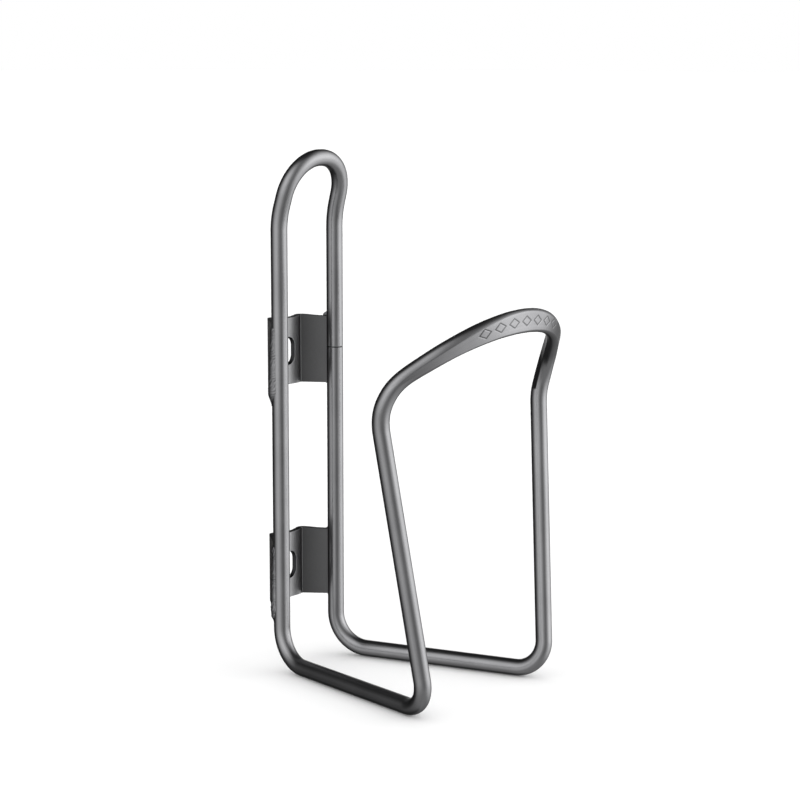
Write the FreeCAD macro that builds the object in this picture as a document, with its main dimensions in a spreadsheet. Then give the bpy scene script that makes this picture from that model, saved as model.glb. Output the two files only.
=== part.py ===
import FreeCAD, Part
import math
import os
import Sketcher
from FreeCAD import Vector

# Bicycle bottle cage, in millimetres.
# One round rod is bent into a closed loop that hugs the bottle. Its front stretch is pressed flat.
# Two sheet brackets are welded across the backs of the uprights, and a bolt through the slot of each
# one holds the cage to the bicycle.
# Origin: midway between the two slots, on the brackets' rear face.
# +Z is up the bottle, +Y points to the bicycle's frame tube, and the bottle stands on the -Y side.

DIMENSIONS = [
    ("bottleDiameter", 73.0, "the usual bicycle bottle"),
    ("rodDiameter", 4.8, "rod stock, 3/16 inch"),
    ("uprightSpacing", 24.0, "between the centre lines of the two uprights"),
    ("uprightSetback", 8.6, "rear face of the brackets to the uprights' centre lines"),
    ("seatDrop", 57.5, "mount centre down to the centre line of the bottom runs"),
    ("heelRadius", 10.4, "bend between an upright and its bottom run"),
    ("toeHalfWidth", 27.2, "corner between a bottom run and its leg: half width"),
    ("toeReach", 74.9, "that corner, in front of the brackets"),
    ("toeRadius", 8.3, "bend at that corner"),
    ("legTopHalfWidth", 35.95, "corner at the top of a leg: half width"),
    ("legTopReach", 65.45, "that corner, in front of the brackets"),
    ("legTopHeight", 22.0, "that corner, above the mount centre"),
    ("legTopRadius", 16.5, "bend at that corner"),
    ("shoulderHalfWidth", 36.35, "corner where the band starts forward: half width"),
    ("shoulderReach", 67.95, "that corner, in front of the brackets"),
    ("shoulderHeight", 31.4, "that corner, above the mount centre"),
    ("shoulderRadius", 13.4, "bend at that corner"),
    ("frontHalfWidth", 16.8, "corner where the band turns across the front: half width"),
    ("frontReach", 85.8, "the band's front, in front of the brackets"),
    ("frontHeight", 47.25, "the band's front, above the mount centre"),
    ("frontRadius", 35.4, "bend at that corner"),
    ("kneeHeight", 72.0, "where the uprights start to lean forward"),
    ("kneeRadius", 25.0, "bend at the knee"),
    ("archHalfWidth", 11.4, "half width of the top arch, also its radius"),
    ("archReach", 13.6, "top of the arch, in front of the brackets"),
    ("archHeight", 89.2, "top of the arch's centre line above the mount centre"),
    ("neckHeight", 4.7, "band section where the flat begins: height"),
    ("neckThickness", 4.7, "band section where the flat begins: thickness"),
    ("bandHeight", 6.6, "band section at the front: height"),
    ("bandThickness", 2.8, "band section at the front: thickness"),
    ("neckSquareness", 2.3, "exponent of the neck's section, where 2 is an ellipse"),
    ("bandSquareness", 3.2, "exponent of the front's section"),
    ("neckStart", 14.0, "arc length from the leg to the narrowest section"),
    ("neckEnd", 14.5, "arc length from the leg to where the section starts to widen"),
    ("boltPitch", 64.0, "between the centres of the two slots"),
    ("slotWidth", 6.0, "slot across, for an M5 bolt"),
    ("slotLength", 8.5, "slot from end to end"),
    ("sheetThickness", 1.6, "bracket sheet"),
    ("bracketHeight", 20.0, "bracket along the uprights"),
    ("saddleRadius", 14.3, "hollow rear face of the web, for a 28.6 mm tube"),
    ("creaseHalfWidth", 6.0, "centre of the web to the crease of a flange"),
    ("flangeAngle", 50.0, "flange off the plane of the web, in degrees"),
    ("flangeLength", 8.6, "crease to the square end of a flange, before it is coped"),
    ("creaseRadius", 0.8, "bend radius inside a crease"),
    ("beadHeight", 1.0, "weld bead above the rod's surface"),
    ("beadCrown", 42.0, "crown of the bead around the rod, in degrees from the side"),
    ("beadToe", -6.0, "edge of the bead on the rod, in degrees from the side"),
    ("beadLap", 2.2, "bead over the outside of the flange"),
    ("runOff", 4.0, "bead on past the bracket's lower edge, left side"),
    ("runIn", 1.2, "bead on past the bracket's upper edge, right side"),
    ("beadTaper", 1.6, "length of a bead's tapered start"),
    ("seamHeight", 33.0, "butt seam of the rod's two ends, above the mount centre"),
    ("seamWire", 0.25, "radius of the round groove left at the seam"),
    ("seamStandOff", 0.08, "centre of that groove outside the rod's surface"),
]

BAND_STATIONS = 12          # sections between a leg and the front of the band
SECTION_POINTS = 24         # points around one section of the band
BAND_BENDS = 4              # bends of the band: shoulder, front, front, shoulder
ROUND_SQUARENESS = 2.0      # exponent of a plain ellipse
SEW_TOLERANCE = 0.001       # between the edges of neighbouring skins
NEAR = 0.0001               # points closer than this are one
LEAST_CUT = 1.0             # volume that a pocket must at least remove
TIP_SCALE = 0.35            # end section of a weld bead against its full one
ROOT_TURN = 20.0            # root of a bead on past its crown, in degrees
ROOT_DEPTH = 0.3            # root of a bead under the rod's surface
TOE_DEPTH = 0.02            # toe of a bead under the rod's surface, before it is cut to the rod

doc = FreeCAD.newDocument("BottleCage")
sheet = doc.addObject("Spreadsheet::Sheet", "Dimensions")


def fillSheet():
    for row, (alias, value, note) in enumerate(DIMENSIONS, start=1):
        sheet.set(f"A{row}", alias)
        sheet.set(f"B{row}", str(value))
        sheet.set(f"C{row}", note)
        sheet.setAlias(f"B{row}", alias)
    doc.recompute()


def size(alias):
    return float(sheet.get(alias))


# Centre line of the rod

def corner(side, halfWidth, reach, height, radius=None):
    """A virtual corner of the centre line and the bend radius there. side is -1 left, +1 right."""
    point = Vector(side * size(halfWidth), -size(reach), size(height))
    return point, size(radius) if radius else 0.0


def sideCorners(side):
    """The corners of one side, from the knee down the upright and up the leg to the front."""
    spacing = size("uprightSpacing") / 2
    upright = Vector(side * spacing, -size("uprightSetback"), 0)
    floor = -size("seatDrop")
    return {
        "arch": corner(side, "archHalfWidth", "archReach", "archHeight", "archHalfWidth"),
        "knee": (upright + Vector(0, 0, size("kneeHeight")), size("kneeRadius")),
        "heel": (upright + Vector(0, 0, floor), size("heelRadius")),
        "toe": (Vector(side * size("toeHalfWidth"), -size("toeReach"), floor), size("toeRadius")),
        "legTop": corner(side, "legTopHalfWidth", "legTopReach", "legTopHeight", "legTopRadius"),
        "shoulder": corner(side, "shoulderHalfWidth", "shoulderReach", "shoulderHeight",
                           "shoulderRadius"),
        "front": corner(side, "frontHalfWidth", "frontReach", "frontHeight", "frontRadius"),
    }


def ringCorners():
    """Corners of the closed centre line: the band from left to right, then the round stretch."""
    left = sideCorners(-1)
    right = sideCorners(1)
    down = ["legTop", "toe", "heel", "knee", "arch"]
    corners = [left["shoulder"], left["front"], right["front"], right["shoulder"]]
    corners += [right[name] for name in down]
    corners += [left[name] for name in reversed(down)]
    return corners


def bendEdge(before, point, after, radius):
    """The arc that rounds the corner at point, as an edge tangent to both runs."""
    toBefore = (before - point).normalize()
    toAfter = (after - point).normalize()
    halfTurn = (math.pi - toBefore.getAngle(toAfter)) / 2
    setBack = radius * math.tan(halfTurn)
    inward = (toBefore + toAfter).normalize()
    middle = point + inward * (radius / math.cos(halfTurn) - radius)
    return Part.Arc(point + toBefore * setBack, middle, point + toAfter * setBack).toShape()


def centreLine():
    """Straight runs and bends of the centre line, as the band's edges and the round ones."""
    corners = ringCorners()
    arcs = []
    for index, (point, radius) in enumerate(corners):
        before = corners[index - 1][0]
        after = corners[(index + 1) % len(corners)][0]
        arcs.append(bendEdge(before, point, after, radius))
    band = []
    rest = []
    for index, arc in enumerate(arcs):
        start = arcs[index - 1].lastVertex(True).Point
        end = arc.firstVertex(True).Point
        if (end - start).Length > NEAR:
            run = Part.LineSegment(start, end).toShape()
            (band if index <= BAND_BENDS else rest).append(run)
        (band if index < BAND_BENDS else rest).append(arc)
    return band, rest


# Pressed band

def pointAlong(edges, distance):
    """Point and unit tangent at an arc length from the start of a row of edges."""
    for edge in edges:
        if distance <= edge.Length + NEAR:
            parameter = edge.getParameterByLength(min(distance, edge.Length))
            return edge.valueAt(parameter), edge.tangentAt(parameter)
        distance -= edge.Length
    raise ValueError("the distance is past the last edge")


def easeBetween(low, high, value):
    """0 at low, 1 at high, with a smooth start and end."""
    share = min(max((value - low) / (high - low), 0), 1)
    return (1 - math.cos(math.pi * share)) / 2


def bandSection(distance, halfLength):
    """Height, thickness and squareness of the section at an arc length from the nearer leg."""
    rod = size("rodDiameter")
    necked = easeBetween(0, size("neckStart"), distance)
    spread = easeBetween(size("neckEnd"), halfLength, distance)
    height = rod + (size("neckHeight") - rod) * necked
    height += (size("bandHeight") - size("neckHeight")) * spread
    thickness = rod + (size("neckThickness") - rod) * necked
    thickness += (size("bandThickness") - size("neckThickness")) * spread
    squareness = ROUND_SQUARENESS + (size("neckSquareness") - ROUND_SQUARENESS) * necked
    squareness += (size("bandSquareness") - size("neckSquareness")) * spread
    return height, thickness, squareness


def bottleOffset():
    """The bottle's axis in front of the uprights, for a bottle that touches both of them."""
    reach = size("bottleDiameter") / 2 + size("rodDiameter") / 2
    return math.sqrt(reach ** 2 - (size("uprightSpacing") / 2) ** 2)


def sectionAxes(centre, tangent):
    """The section's two axes: away from the bottle's axis, and up."""
    bottleAxis = Vector(0, -size("uprightSetback") - bottleOffset(), centre.z)
    outward = centre - bottleAxis
    outward = (outward - tangent * outward.dot(tangent)).normalize()
    upward = tangent.cross(outward).normalize()
    return outward, upward if upward.z > 0 else upward * -1


def roundWire(centre, tangent, outward):
    """The rod's own round section, at either end of the band."""
    circle = Part.Circle(centre, tangent, size("rodDiameter") / 2)
    circle.XAxis = outward
    return Part.Wire([circle.toShape()])


def pressedWire(centre, outward, upward, height, thickness, squareness):
    """Closed section between an ellipse, at a squareness of 2, and a rounded rectangle."""
    points = []
    for index in range(SECTION_POINTS):
        angle = 2 * math.pi * index / SECTION_POINTS
        across = math.copysign(abs(math.cos(angle)) ** (2 / squareness), math.cos(angle))
        along = math.copysign(abs(math.sin(angle)) ** (2 / squareness), math.sin(angle))
        points.append(centre + outward * (across * thickness / 2) + upward * (along * height / 2))
    curve = Part.BSplineCurve()
    curve.interpolate(points, PeriodicFlag=True)
    return Part.Wire([curve.toShape()])


# Rod

def sweptEdge(edge):
    """Round skin of the rod along one straight run or one bend."""
    direction = edge.tangentAt(edge.FirstParameter)
    circle = Part.Circle(edge.valueAt(edge.FirstParameter), direction, size("rodDiameter") / 2)
    return Part.Wire([edge]).makePipe(Part.Wire([circle.toShape()]))


def bandSkin(band):
    """Skin of the pressed stretch, lofted through its sections from leg to leg."""
    length = sum(edge.Length for edge in band)
    halfLength = length / 2
    lastStation = 2 * BAND_STATIONS
    sections = []
    for station in range(lastStation + 1):
        distance = halfLength * station / BAND_STATIONS
        centre, tangent = pointAlong(band, distance)
        outward, upward = sectionAxes(centre, tangent)
        if station in (0, lastStation):
            sections.append(roundWire(centre, tangent, outward))
        else:
            nearest = min(distance, length - distance)
            sections.append(pressedWire(centre, outward, upward, *bandSection(nearest, halfLength)))
    return Part.makeLoft(sections, False, False)


def makeRod():
    """The closed rod, with a fine groove around the seam where its two ends are butted."""
    band, rest = centreLine()
    skin = Part.makeCompound([sweptEdge(edge) for edge in rest] + [bandSkin(band)])
    skin.sewShape(SEW_TOLERANCE)
    loop = doc.addObject("Part::Feature", "RodBlank")
    loop.Shape = Part.Solid(skin.Shells[0])
    loop.Placement = FreeCAD.Placement()

    groove = doc.addObject("Part::Torus", "SeamGroove")
    groove.setExpression("Radius1", "Dimensions.rodDiameter / 2 + Dimensions.seamStandOff")
    groove.setExpression("Radius2", "Dimensions.seamWire")
    groove.setExpression("Placement.Base.x", "Dimensions.uprightSpacing / 2")
    groove.setExpression("Placement.Base.y", "-Dimensions.uprightSetback")
    groove.setExpression("Placement.Base.z", "Dimensions.seamHeight")

    rod = doc.addObject("Part::Cut", "Rod")
    rod.Base = loop
    rod.Tool = groove
    rod.Label = "rod_loop"
    return rod


# Brackets

def originPlane(body, role):
    return next(item for item in body.Origin.OriginFeatures if item.Role == role)


def newSketch(body, name, role):
    sketch = body.newObject("Sketcher::SketchObject", name)
    sketch.AttachmentSupport = [(originPlane(body, role), "")]
    sketch.MapMode = "FlatFace"
    return sketch


def drive(sketch, constraint, expression):
    """Adds a dimension to the sketch and binds it to the sheet."""
    index = sketch.addConstraint(constraint)
    sketch.setExpression(f"Constraints[{index}]", expression)


def distanceToCircle(start, direction, centre, radius):
    """How far from start, along direction, the circle is first met."""
    along = (centre - start).dot(direction)
    aside = (start + direction * along - centre).Length
    return along - math.sqrt(radius ** 2 - aside ** 2)


def flangeAxes():
    """Directions of the right flange in plan: away from the web, and out of its outer face."""
    turn = math.radians(size("flangeAngle"))
    return Vector(math.cos(turn), -math.sin(turn), 0), Vector(math.sin(turn), math.cos(turn), 0)


def creasePoints():
    """Sharp corners of the right crease in plan: on the bottle's side, and on the rear."""
    back = size("saddleRadius")
    front = back + size("sheetThickness")
    crease = size("creaseHalfWidth")
    down, out = flangeAxes()
    inner = Vector(crease, back - math.sqrt(front ** 2 - crease ** 2), 0)
    flangeEnd = inner + down * size("flangeLength") + out * size("sheetThickness")
    run = distanceToCircle(flangeEnd, down * -1, Vector(0, back, 0), back)
    return inner, flangeEnd - down * run


def drawHat(sketch):
    """Plan of a bracket: a hollow web between two straight flanges that run to the uprights."""
    back = size("saddleRadius")
    front = back + size("sheetThickness")
    crease = size("creaseHalfWidth")
    down, out = flangeAxes()
    inner, outer = creasePoints()
    innerEnd = inner + down * size("flangeLength")
    outerEnd = innerEnd + out * size("sheetThickness")

    def mirrored(point):
        return Vector(-point.x, point.y, 0)

    def webArc(radius, edge):
        middle = Vector(0, back, 0)
        start = math.atan2(edge.y - back, -edge.x)
        end = math.atan2(edge.y - back, edge.x)
        return Part.ArcOfCircle(Part.Circle(middle, Vector(0, 0, 1), radius), start, end)

    lines = [(inner, innerEnd), (innerEnd, outerEnd), (outerEnd, outer)]
    sketch.addGeometry(webArc(front, inner))
    for start, end in lines:
        sketch.addGeometry(Part.LineSegment(start, end))
    sketch.addGeometry(webArc(back, outer))
    for start, end in reversed(lines):
        sketch.addGeometry(Part.LineSegment(mirrored(end), mirrored(start)))

    joins = [(0, 2, 1, 1), (1, 2, 2, 1), (2, 2, 3, 1), (3, 2, 4, 2),
             (4, 1, 5, 1), (5, 2, 6, 1), (6, 2, 7, 1), (7, 2, 0, 1)]
    for join in joins:
        sketch.addConstraint(Sketcher.Constraint("Coincident", *join))
    sketch.addConstraint(Sketcher.Constraint("Coincident", 0, 3, 4, 3))
    sketch.addConstraint(Sketcher.Constraint("PointOnObject", 0, 3, -2))
    for left, right in (((0, 1), (0, 2)), ((4, 1), (4, 2)), ((6, 2), (1, 2)), ((5, 2), (2, 2))):
        sketch.addConstraint(Sketcher.Constraint("Symmetric", *left, *right, -2))
    sketch.addConstraint(Sketcher.Constraint("Parallel", 1, 3))
    sketch.addConstraint(Sketcher.Constraint("Perpendicular", 1, 2))
    drive(sketch, Sketcher.Constraint("Radius", 4, back), "Dimensions.saddleRadius")
    drive(sketch, Sketcher.Constraint("Radius", 0, front),
          "Dimensions.saddleRadius + Dimensions.sheetThickness")
    drive(sketch, Sketcher.Constraint("DistanceY", -1, 1, 0, 3, back), "Dimensions.saddleRadius")
    drive(sketch, Sketcher.Constraint("DistanceX", -1, 1, 0, 2, crease),
          "Dimensions.creaseHalfWidth")
    drive(sketch, Sketcher.Constraint("Distance", 2, size("sheetThickness")),
          "Dimensions.sheetThickness")
    drive(sketch, Sketcher.Constraint("Distance", 1, size("flangeLength")),
          "Dimensions.flangeLength")
    drive(sketch, Sketcher.Constraint("Angle", 1, -math.radians(size("flangeAngle"))),
          "-Dimensions.flangeAngle")


def drawSlot(sketch):
    """Upright slot with round ends, centred on the origin."""
    radius = size("slotWidth") / 2
    half = size("slotLength") / 2 - radius
    upper = Part.Circle(Vector(0, half, 0), Vector(0, 0, 1), radius)
    lower = Part.Circle(Vector(0, -half, 0), Vector(0, 0, 1), radius)
    sketch.addGeometry(Part.ArcOfCircle(upper, 0, math.pi))
    sketch.addGeometry(Part.LineSegment(Vector(-radius, half, 0), Vector(-radius, -half, 0)))
    sketch.addGeometry(Part.ArcOfCircle(lower, math.pi, 2 * math.pi))
    sketch.addGeometry(Part.LineSegment(Vector(radius, -half, 0), Vector(radius, half, 0)))
    for join in ((0, 2, 1, 1), (1, 2, 2, 1), (2, 2, 3, 1), (3, 2, 0, 1)):
        sketch.addConstraint(Sketcher.Constraint("Tangent", *join))
    sketch.addConstraint(Sketcher.Constraint("Equal", 0, 2))
    sketch.addConstraint(Sketcher.Constraint("Vertical", 3))
    sketch.addConstraint(Sketcher.Constraint("Symmetric", 0, 3, 2, 3, -1, 1))
    drive(sketch, Sketcher.Constraint("Radius", 0, radius), "Dimensions.slotWidth / 2")
    drive(sketch, Sketcher.Constraint("DistanceY", 2, 3, 0, 3, 2 * half),
          "Dimensions.slotLength - Dimensions.slotWidth")


def drawUprights(sketch):
    """The two uprights in plan, that the ends of the flanges are coped to."""
    for side in (-1, 1):
        place = Vector(side * size("uprightSpacing") / 2, -size("uprightSetback"), 0)
        index = sketch.addGeometry(Part.Circle(place, Vector(0, 0, 1), size("rodDiameter") / 2))
        drive(sketch, Sketcher.Constraint("Radius", index, size("rodDiameter") / 2),
              "Dimensions.rodDiameter / 2")
        ends = (-1, 1, index, 3) if side > 0 else (index, 3, -1, 1)
        drive(sketch, Sketcher.Constraint("DistanceX", *ends, size("uprightSpacing") / 2),
              "Dimensions.uprightSpacing / 2")
        drive(sketch, Sketcher.Constraint("DistanceY", index, 3, -1, 1, size("uprightSetback")),
              "Dimensions.uprightSetback")


def creaseEdges(shape, crease):
    """Names of the two upright edges that pass through a crease point and its mirror image."""
    names = []
    for number, edge in enumerate(shape.Edges, start=1):
        middle = edge.CenterOfMass
        if abs(abs(middle.x) - crease.x) < NEAR and abs(middle.y - crease.y) < NEAR:
            names.append(f"Edge{number}")
    return names


def makeBracket(label, height):
    """A sheet bracket bent to a hat section, its slot centred at the given height."""
    body = doc.addObject("PartDesign::Body", label.title().replace("_", ""))
    body.Label = label

    plan = newSketch(body, body.Name + "Plan", "XY_Plane")
    drawHat(plan)
    blank = body.newObject("PartDesign::Pad", body.Name + "Blank")
    blank.Profile = plan
    blank.Midplane = True
    blank.setExpression("Length", "Dimensions.bracketHeight")
    doc.recompute()

    inner, outer = creasePoints()
    inside = body.newObject("PartDesign::Fillet", body.Name + "InnerBends")
    inside.Base = (blank, creaseEdges(blank.Shape, inner))
    inside.setExpression("Radius", "Dimensions.creaseRadius")
    doc.recompute()
    outside = body.newObject("PartDesign::Fillet", body.Name + "OuterBends")
    outside.Base = (inside, creaseEdges(inside.Shape, outer))
    outside.setExpression("Radius", "Dimensions.creaseRadius + Dimensions.sheetThickness")
    doc.recompute()

    slot = newSketch(body, body.Name + "SlotOutline", "XZ_Plane")
    drawSlot(slot)
    opening = body.newObject("PartDesign::Pocket", body.Name + "Slot")
    opening.Profile = slot
    opening.Midplane = True
    opening.Type = 1
    doc.recompute()

    uprights = newSketch(body, body.Name + "Uprights", "XY_Plane")
    drawUprights(uprights)
    coping = body.newObject("PartDesign::Pocket", body.Name + "Coping")
    coping.Profile = uprights
    coping.Midplane = True
    coping.Type = 1
    doc.recompute()

    for before, after in ((blank, opening), (opening, coping)):
        if after.Shape.Volume > before.Shape.Volume - LEAST_CUT:
            raise ValueError(f"{after.Name} removes nothing")
    body.setExpression("Placement.Base.z", height)
    return body


# Weld beads

def beadWire(side, height, scale):
    """Section of a bead: over the outside of the flange, across its crown and down to the rod."""
    rod = size("rodDiameter") / 2
    axis = Vector(size("uprightSpacing") / 2, -size("uprightSetback"), 0)
    down, out = flangeAxes()
    face = creasePoints()[0] + out * size("sheetThickness")
    lap = face + down * (distanceToCircle(face, down, axis, rod) - size("beadLap"))

    def aroundRod(degrees, radius):
        angle = math.radians(degrees)
        return axis + Vector(math.cos(angle), math.sin(angle), 0) * radius

    crown = aroundRod(size("beadCrown"), rod + size("beadHeight"))
    toe = aroundRod(size("beadToe"), rod - TOE_DEPTH)
    root = aroundRod(size("beadCrown") + ROOT_TURN, rod - ROOT_DEPTH)
    outline = [root + (point - root) * scale for point in (lap, crown, toe)]
    lap, crown, toe = [Vector(side * point.x, point.y, height) for point in outline]
    return Part.Wire([Part.Arc(lap, crown, toe).toShape(), Part.LineSegment(toe, lap).toShape()])


def makeBead(label, bracket, side, level):
    """Weld bead down the outside of one flange. side is -1 left, +1 right; level is -1 or +1."""
    middle = level * size("boltPitch") / 2
    top = middle + size("bracketHeight") / 2
    bottom = middle - size("bracketHeight") / 2
    if side > 0:
        top += size("runIn")
        bottomTip = bottom - size("runIn")
    else:
        bottomTip = bottom - size("runOff")
    name = label.title().replace("_", "")
    stations = [(top, TIP_SCALE), (top - size("beadTaper"), 1), (bottom, 1), (bottomTip, TIP_SCALE)]
    sections = []
    for number, (height, scale) in enumerate(stations, start=1):
        section = doc.addObject("Part::Feature", f"{name}Section{number}")
        section.Shape = beadWire(side, height, scale)
        sections.append(section)
    blank = doc.addObject("Part::Loft", name + "Blank")
    blank.Sections = sections
    blank.Solid = True
    blank.Ruled = True

    upright = doc.addObject("Part::Cylinder", name + "Upright")
    upright.setExpression("Radius", "Dimensions.rodDiameter / 2")
    upright.setExpression("Height", "2 * Dimensions.boltPitch")
    upright.setExpression("Placement.Base.x", f"{side} * Dimensions.uprightSpacing / 2")
    upright.setExpression("Placement.Base.y", "-Dimensions.uprightSetback")
    upright.setExpression("Placement.Base.z", "-Dimensions.boltPitch")

    besideRod = doc.addObject("Part::Cut", name + "BesideRod")
    besideRod.Base = blank
    besideRod.Tool = upright
    bead = doc.addObject("Part::Cut", name)
    bead.Base = besideRod
    bead.Tool = bracket
    bead.Label = label
    return bead


# Build, check and write

def checkDocument(pieces):
    for item in doc.Objects:
        if "Invalid" in item.State or "Error" in item.State:
            raise ValueError(f"{item.Name} failed: {item.State}")
        if item.isDerivedFrom("Sketcher::SketchObject") and not item.FullyConstrained:
            raise ValueError(f"{item.Name} is not fully constrained")
    for piece in pieces:
        shape = piece.Shape
        if shape.isNull() or not shape.isValid() or len(shape.Solids) != 1:
            raise ValueError(f"{piece.Label} is not one valid solid")


def main():
    fillSheet()
    rod = makeRod()
    pieces = [rod]
    for level, place in ((1, "upper"), (-1, "lower")):
        bracket = makeBracket(f"{place}_bracket", f"{level} * Dimensions.boltPitch / 2")
        pieces.append(bracket)
        for side, hand in ((-1, "left"), (1, "right")):
            pieces.append(makeBead(f"{place}_{hand}_weld", bracket, side, level))
    doc.recompute()
    checkDocument(pieces)

    os.makedirs("parts", exist_ok=True)
    for piece in pieces:
        piece.Shape.exportStep(f"parts/{piece.Label}.step")
        box = piece.Shape.optimalBoundingBox()
        print(f"{piece.Label}: {piece.Shape.Volume:.1f} mm3, "
              f"{box.XLength:.1f} x {box.YLength:.1f} x {box.ZLength:.1f} mm")


main()
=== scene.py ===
import math
import bpy
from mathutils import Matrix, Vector


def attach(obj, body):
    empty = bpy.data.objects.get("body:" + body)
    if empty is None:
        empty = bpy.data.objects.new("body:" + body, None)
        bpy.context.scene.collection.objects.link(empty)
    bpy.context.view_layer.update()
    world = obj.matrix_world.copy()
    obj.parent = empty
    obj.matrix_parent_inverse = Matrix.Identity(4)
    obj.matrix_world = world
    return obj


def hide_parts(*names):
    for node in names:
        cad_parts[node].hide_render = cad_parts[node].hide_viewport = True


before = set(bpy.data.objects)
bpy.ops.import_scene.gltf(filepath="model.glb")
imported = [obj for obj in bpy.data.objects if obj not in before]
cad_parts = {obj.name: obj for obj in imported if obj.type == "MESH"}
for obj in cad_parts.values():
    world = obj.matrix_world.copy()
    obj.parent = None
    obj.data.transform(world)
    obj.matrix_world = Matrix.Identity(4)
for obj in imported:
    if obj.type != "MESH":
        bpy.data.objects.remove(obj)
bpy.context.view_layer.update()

print("frame loaded:", ", ".join(sorted(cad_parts)))


# small helpers for working by hand in object and edit mode

mergeDistance = 0.000001


def takeUp(piece):
    if bpy.context.object and bpy.context.object.mode != "OBJECT":
        bpy.ops.object.mode_set(mode="OBJECT")
    bpy.ops.object.select_all(action="DESELECT")
    piece.select_set(True)
    bpy.context.view_layer.objects.active = piece


def startPiece(name):
    piece = bpy.context.object
    piece.name = name
    piece.data.name = name
    bpy.ops.object.transform_apply(location=True, rotation=True, scale=True)
    return piece


def selectVertices(piece, wanted):
    bpy.ops.object.mode_set(mode="OBJECT")
    for part in (piece.data.polygons, piece.data.edges, piece.data.vertices):
        for item in part:
            item.select = False
    for vertex in piece.data.vertices:
        vertex.select = bool(wanted(vertex))
    bpy.ops.object.mode_set(mode="EDIT")
    bpy.ops.mesh.select_mode(type="VERT")


def pull(offset):
    bpy.ops.mesh.extrude_region_move(TRANSFORM_OT_translate={"value": offset})


def addModifier(piece, kind, **settings):
    modifier = piece.modifiers.new(kind.title(), kind)
    for key, value in settings.items():
        setattr(modifier, key, value)
    takeUp(piece)
    bpy.ops.object.modifier_apply(modifier=modifier.name)


def tidyMesh(piece):
    takeUp(piece)
    bpy.ops.object.mode_set(mode="EDIT")
    bpy.ops.mesh.select_all(action="SELECT")
    bpy.ops.mesh.remove_doubles(threshold=mergeDistance)
    bpy.ops.mesh.normals_make_consistent(inside=False)
    bpy.ops.object.mode_set(mode="OBJECT")


def handOver(piece, node):
    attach(piece, "root")
    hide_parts(node)


def ease(low, high, value):
    share = min(max((value - low) / (high - low), 0), 1)
    return share * share * (3 - 2 * share)


# rod: one closed loop, modelled as its right half and mirrored
# corner: (place, bend radius); lengths in metres

rodShape = {
    "radius": 0.0024,
    "around": 96,
    "frontCentre": (0, -0.0858, 0.04725),
    "front": ((0.0168, -0.0858, 0.04725), 0.0354),
    "shoulder": ((0.03635, -0.06795, 0.0314), 0.0134),
    "legTop": ((0.03595, -0.06545, 0.0220), 0.0165),
    "toe": ((0.0272, -0.0749, -0.0575), 0.0083),
    "heel": ((0.0120, -0.0086, -0.0575), 0.0104),
    "knee": ((0.0120, -0.0086, 0.0720), 0.0250),
    "arch": ((0.0114, -0.0136, 0.0889), 0.0114),
    "archCentre": (0, -0.0136, 0.0889),
    "bottleAxis": (0, -0.0456, 0),
    "fineStep": 0.00012,        # ring spacing under the ornament
    "fineLength": 0.0205,
    "coarseStep": 0.0004,       # and on the rest of the band
    "pressedLeg": 0.0045,       # leg below the band that is still shaped with it
    "steps": {"shoulder": 30, "pressedLeg": 18, "legTop": 10, "toe": 26, "heel": 26,
              "knee": 8, "arch": 40},
    "runParts": 6,              # a straight run is cut into this many, no shorter than runLeast
    "runLeast": 0.001,
    "mirrorMerge": 0.00001,
}

# butt seam on the right upright: one ring drawn in by depth, between rings close together
# inside: only the right upright lies past this x and this y
seam = {"height": 0.033, "depth": 0.00032, "ring": 0.00015, "near": 0.00005,
        "inside": (0.008, -0.012)}

# evening of the band's centre line: half window, where it opens and how it closes on the leg
evening = {"reach": 0.0055, "opens": (0.008, 0.022), "closes": 0.009, "least": 0.0005}

# pressed stretch, by distance from the leg: half height and half thickness, all in mm, then
# lower and upper edge of the outer flat and edge of the inner flat, in degrees
pressRows = [
    (-4.0, 2.40, 2.40, -75, 75, 37),
    (0.0, 2.39, 2.40, -72, 68, 36),
    (4.0, 2.36, 2.39, -48, 28, 35),
    (8.5, 2.32, 2.38, -23, -7, 35),
    (10.8, 2.31, 2.36, -26, -4, 36),
    (12.3, 2.34, 2.36, -31, -2, 36),
    (15.6, 2.42, 2.34, -38, 4, 37),
    (18.9, 2.53, 2.32, -42, 7, 38),
    (22.2, 2.62, 2.30, -49, 10, 40),
    (24.0, 2.66, 2.30, -54, 13, 41),
    (26.0, 2.70, 2.30, -55, 15, 43),
    (29.0, 2.80, 2.30, -55, 20, 45),
    (32.8, 2.95, 2.30, -54, 25, 48),
    (36.8, 3.08, 2.29, -53, 31, 50),
    (41.7, 3.18, 2.27, -52, 41, 51),
    (44.5, 3.27, 2.24, -52, 47, 52),
    (51.5, 3.31, 2.22, -52, 52, 52),
]
# where each flat sets in, in mm from the leg, and the run it takes to reach full depth
pressStart = {"outer": 9.0, "outerRun": 1.2, "inner": -2.3, "innerRun": 0.35}
# places in mm round a ring over which the rows are averaged
rowSpread = (-1.6, -0.8, 0, 0.8, 1.6)

# parts of the round section that become the flats, in degrees from outward
flatEnds = {"outer": 75, "inner": 142.5}

# engraved ornament on the front: a plain row of diamonds
# it keeps within an angle of outward, and starts a distance in mm from the leg
ornament = {"count": 7, "pitch": 0.0052, "halfLength": 0.0019, "halfHeight": 0.0013,
            "line": 0.00013, "depth": 0.00013, "raise": 0.00005, "within": 72, "fromLeg": 25}


def bendAt(before, point, after, radius):
    before, point, after = Vector(before), Vector(point), Vector(after)
    back = (before - point).normalized()
    ahead = (after - point).normalized()
    turn = math.pi - back.angle(ahead)
    setBack = radius * math.tan(turn / 2)
    return {"start": point + back * setBack, "end": point + ahead * setBack, "turn": turn,
            "radius": radius, "axis": (-back).cross(ahead).normalized(),
            "centre": point + (back + ahead).normalized() * (radius / math.cos(turn / 2))}


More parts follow.
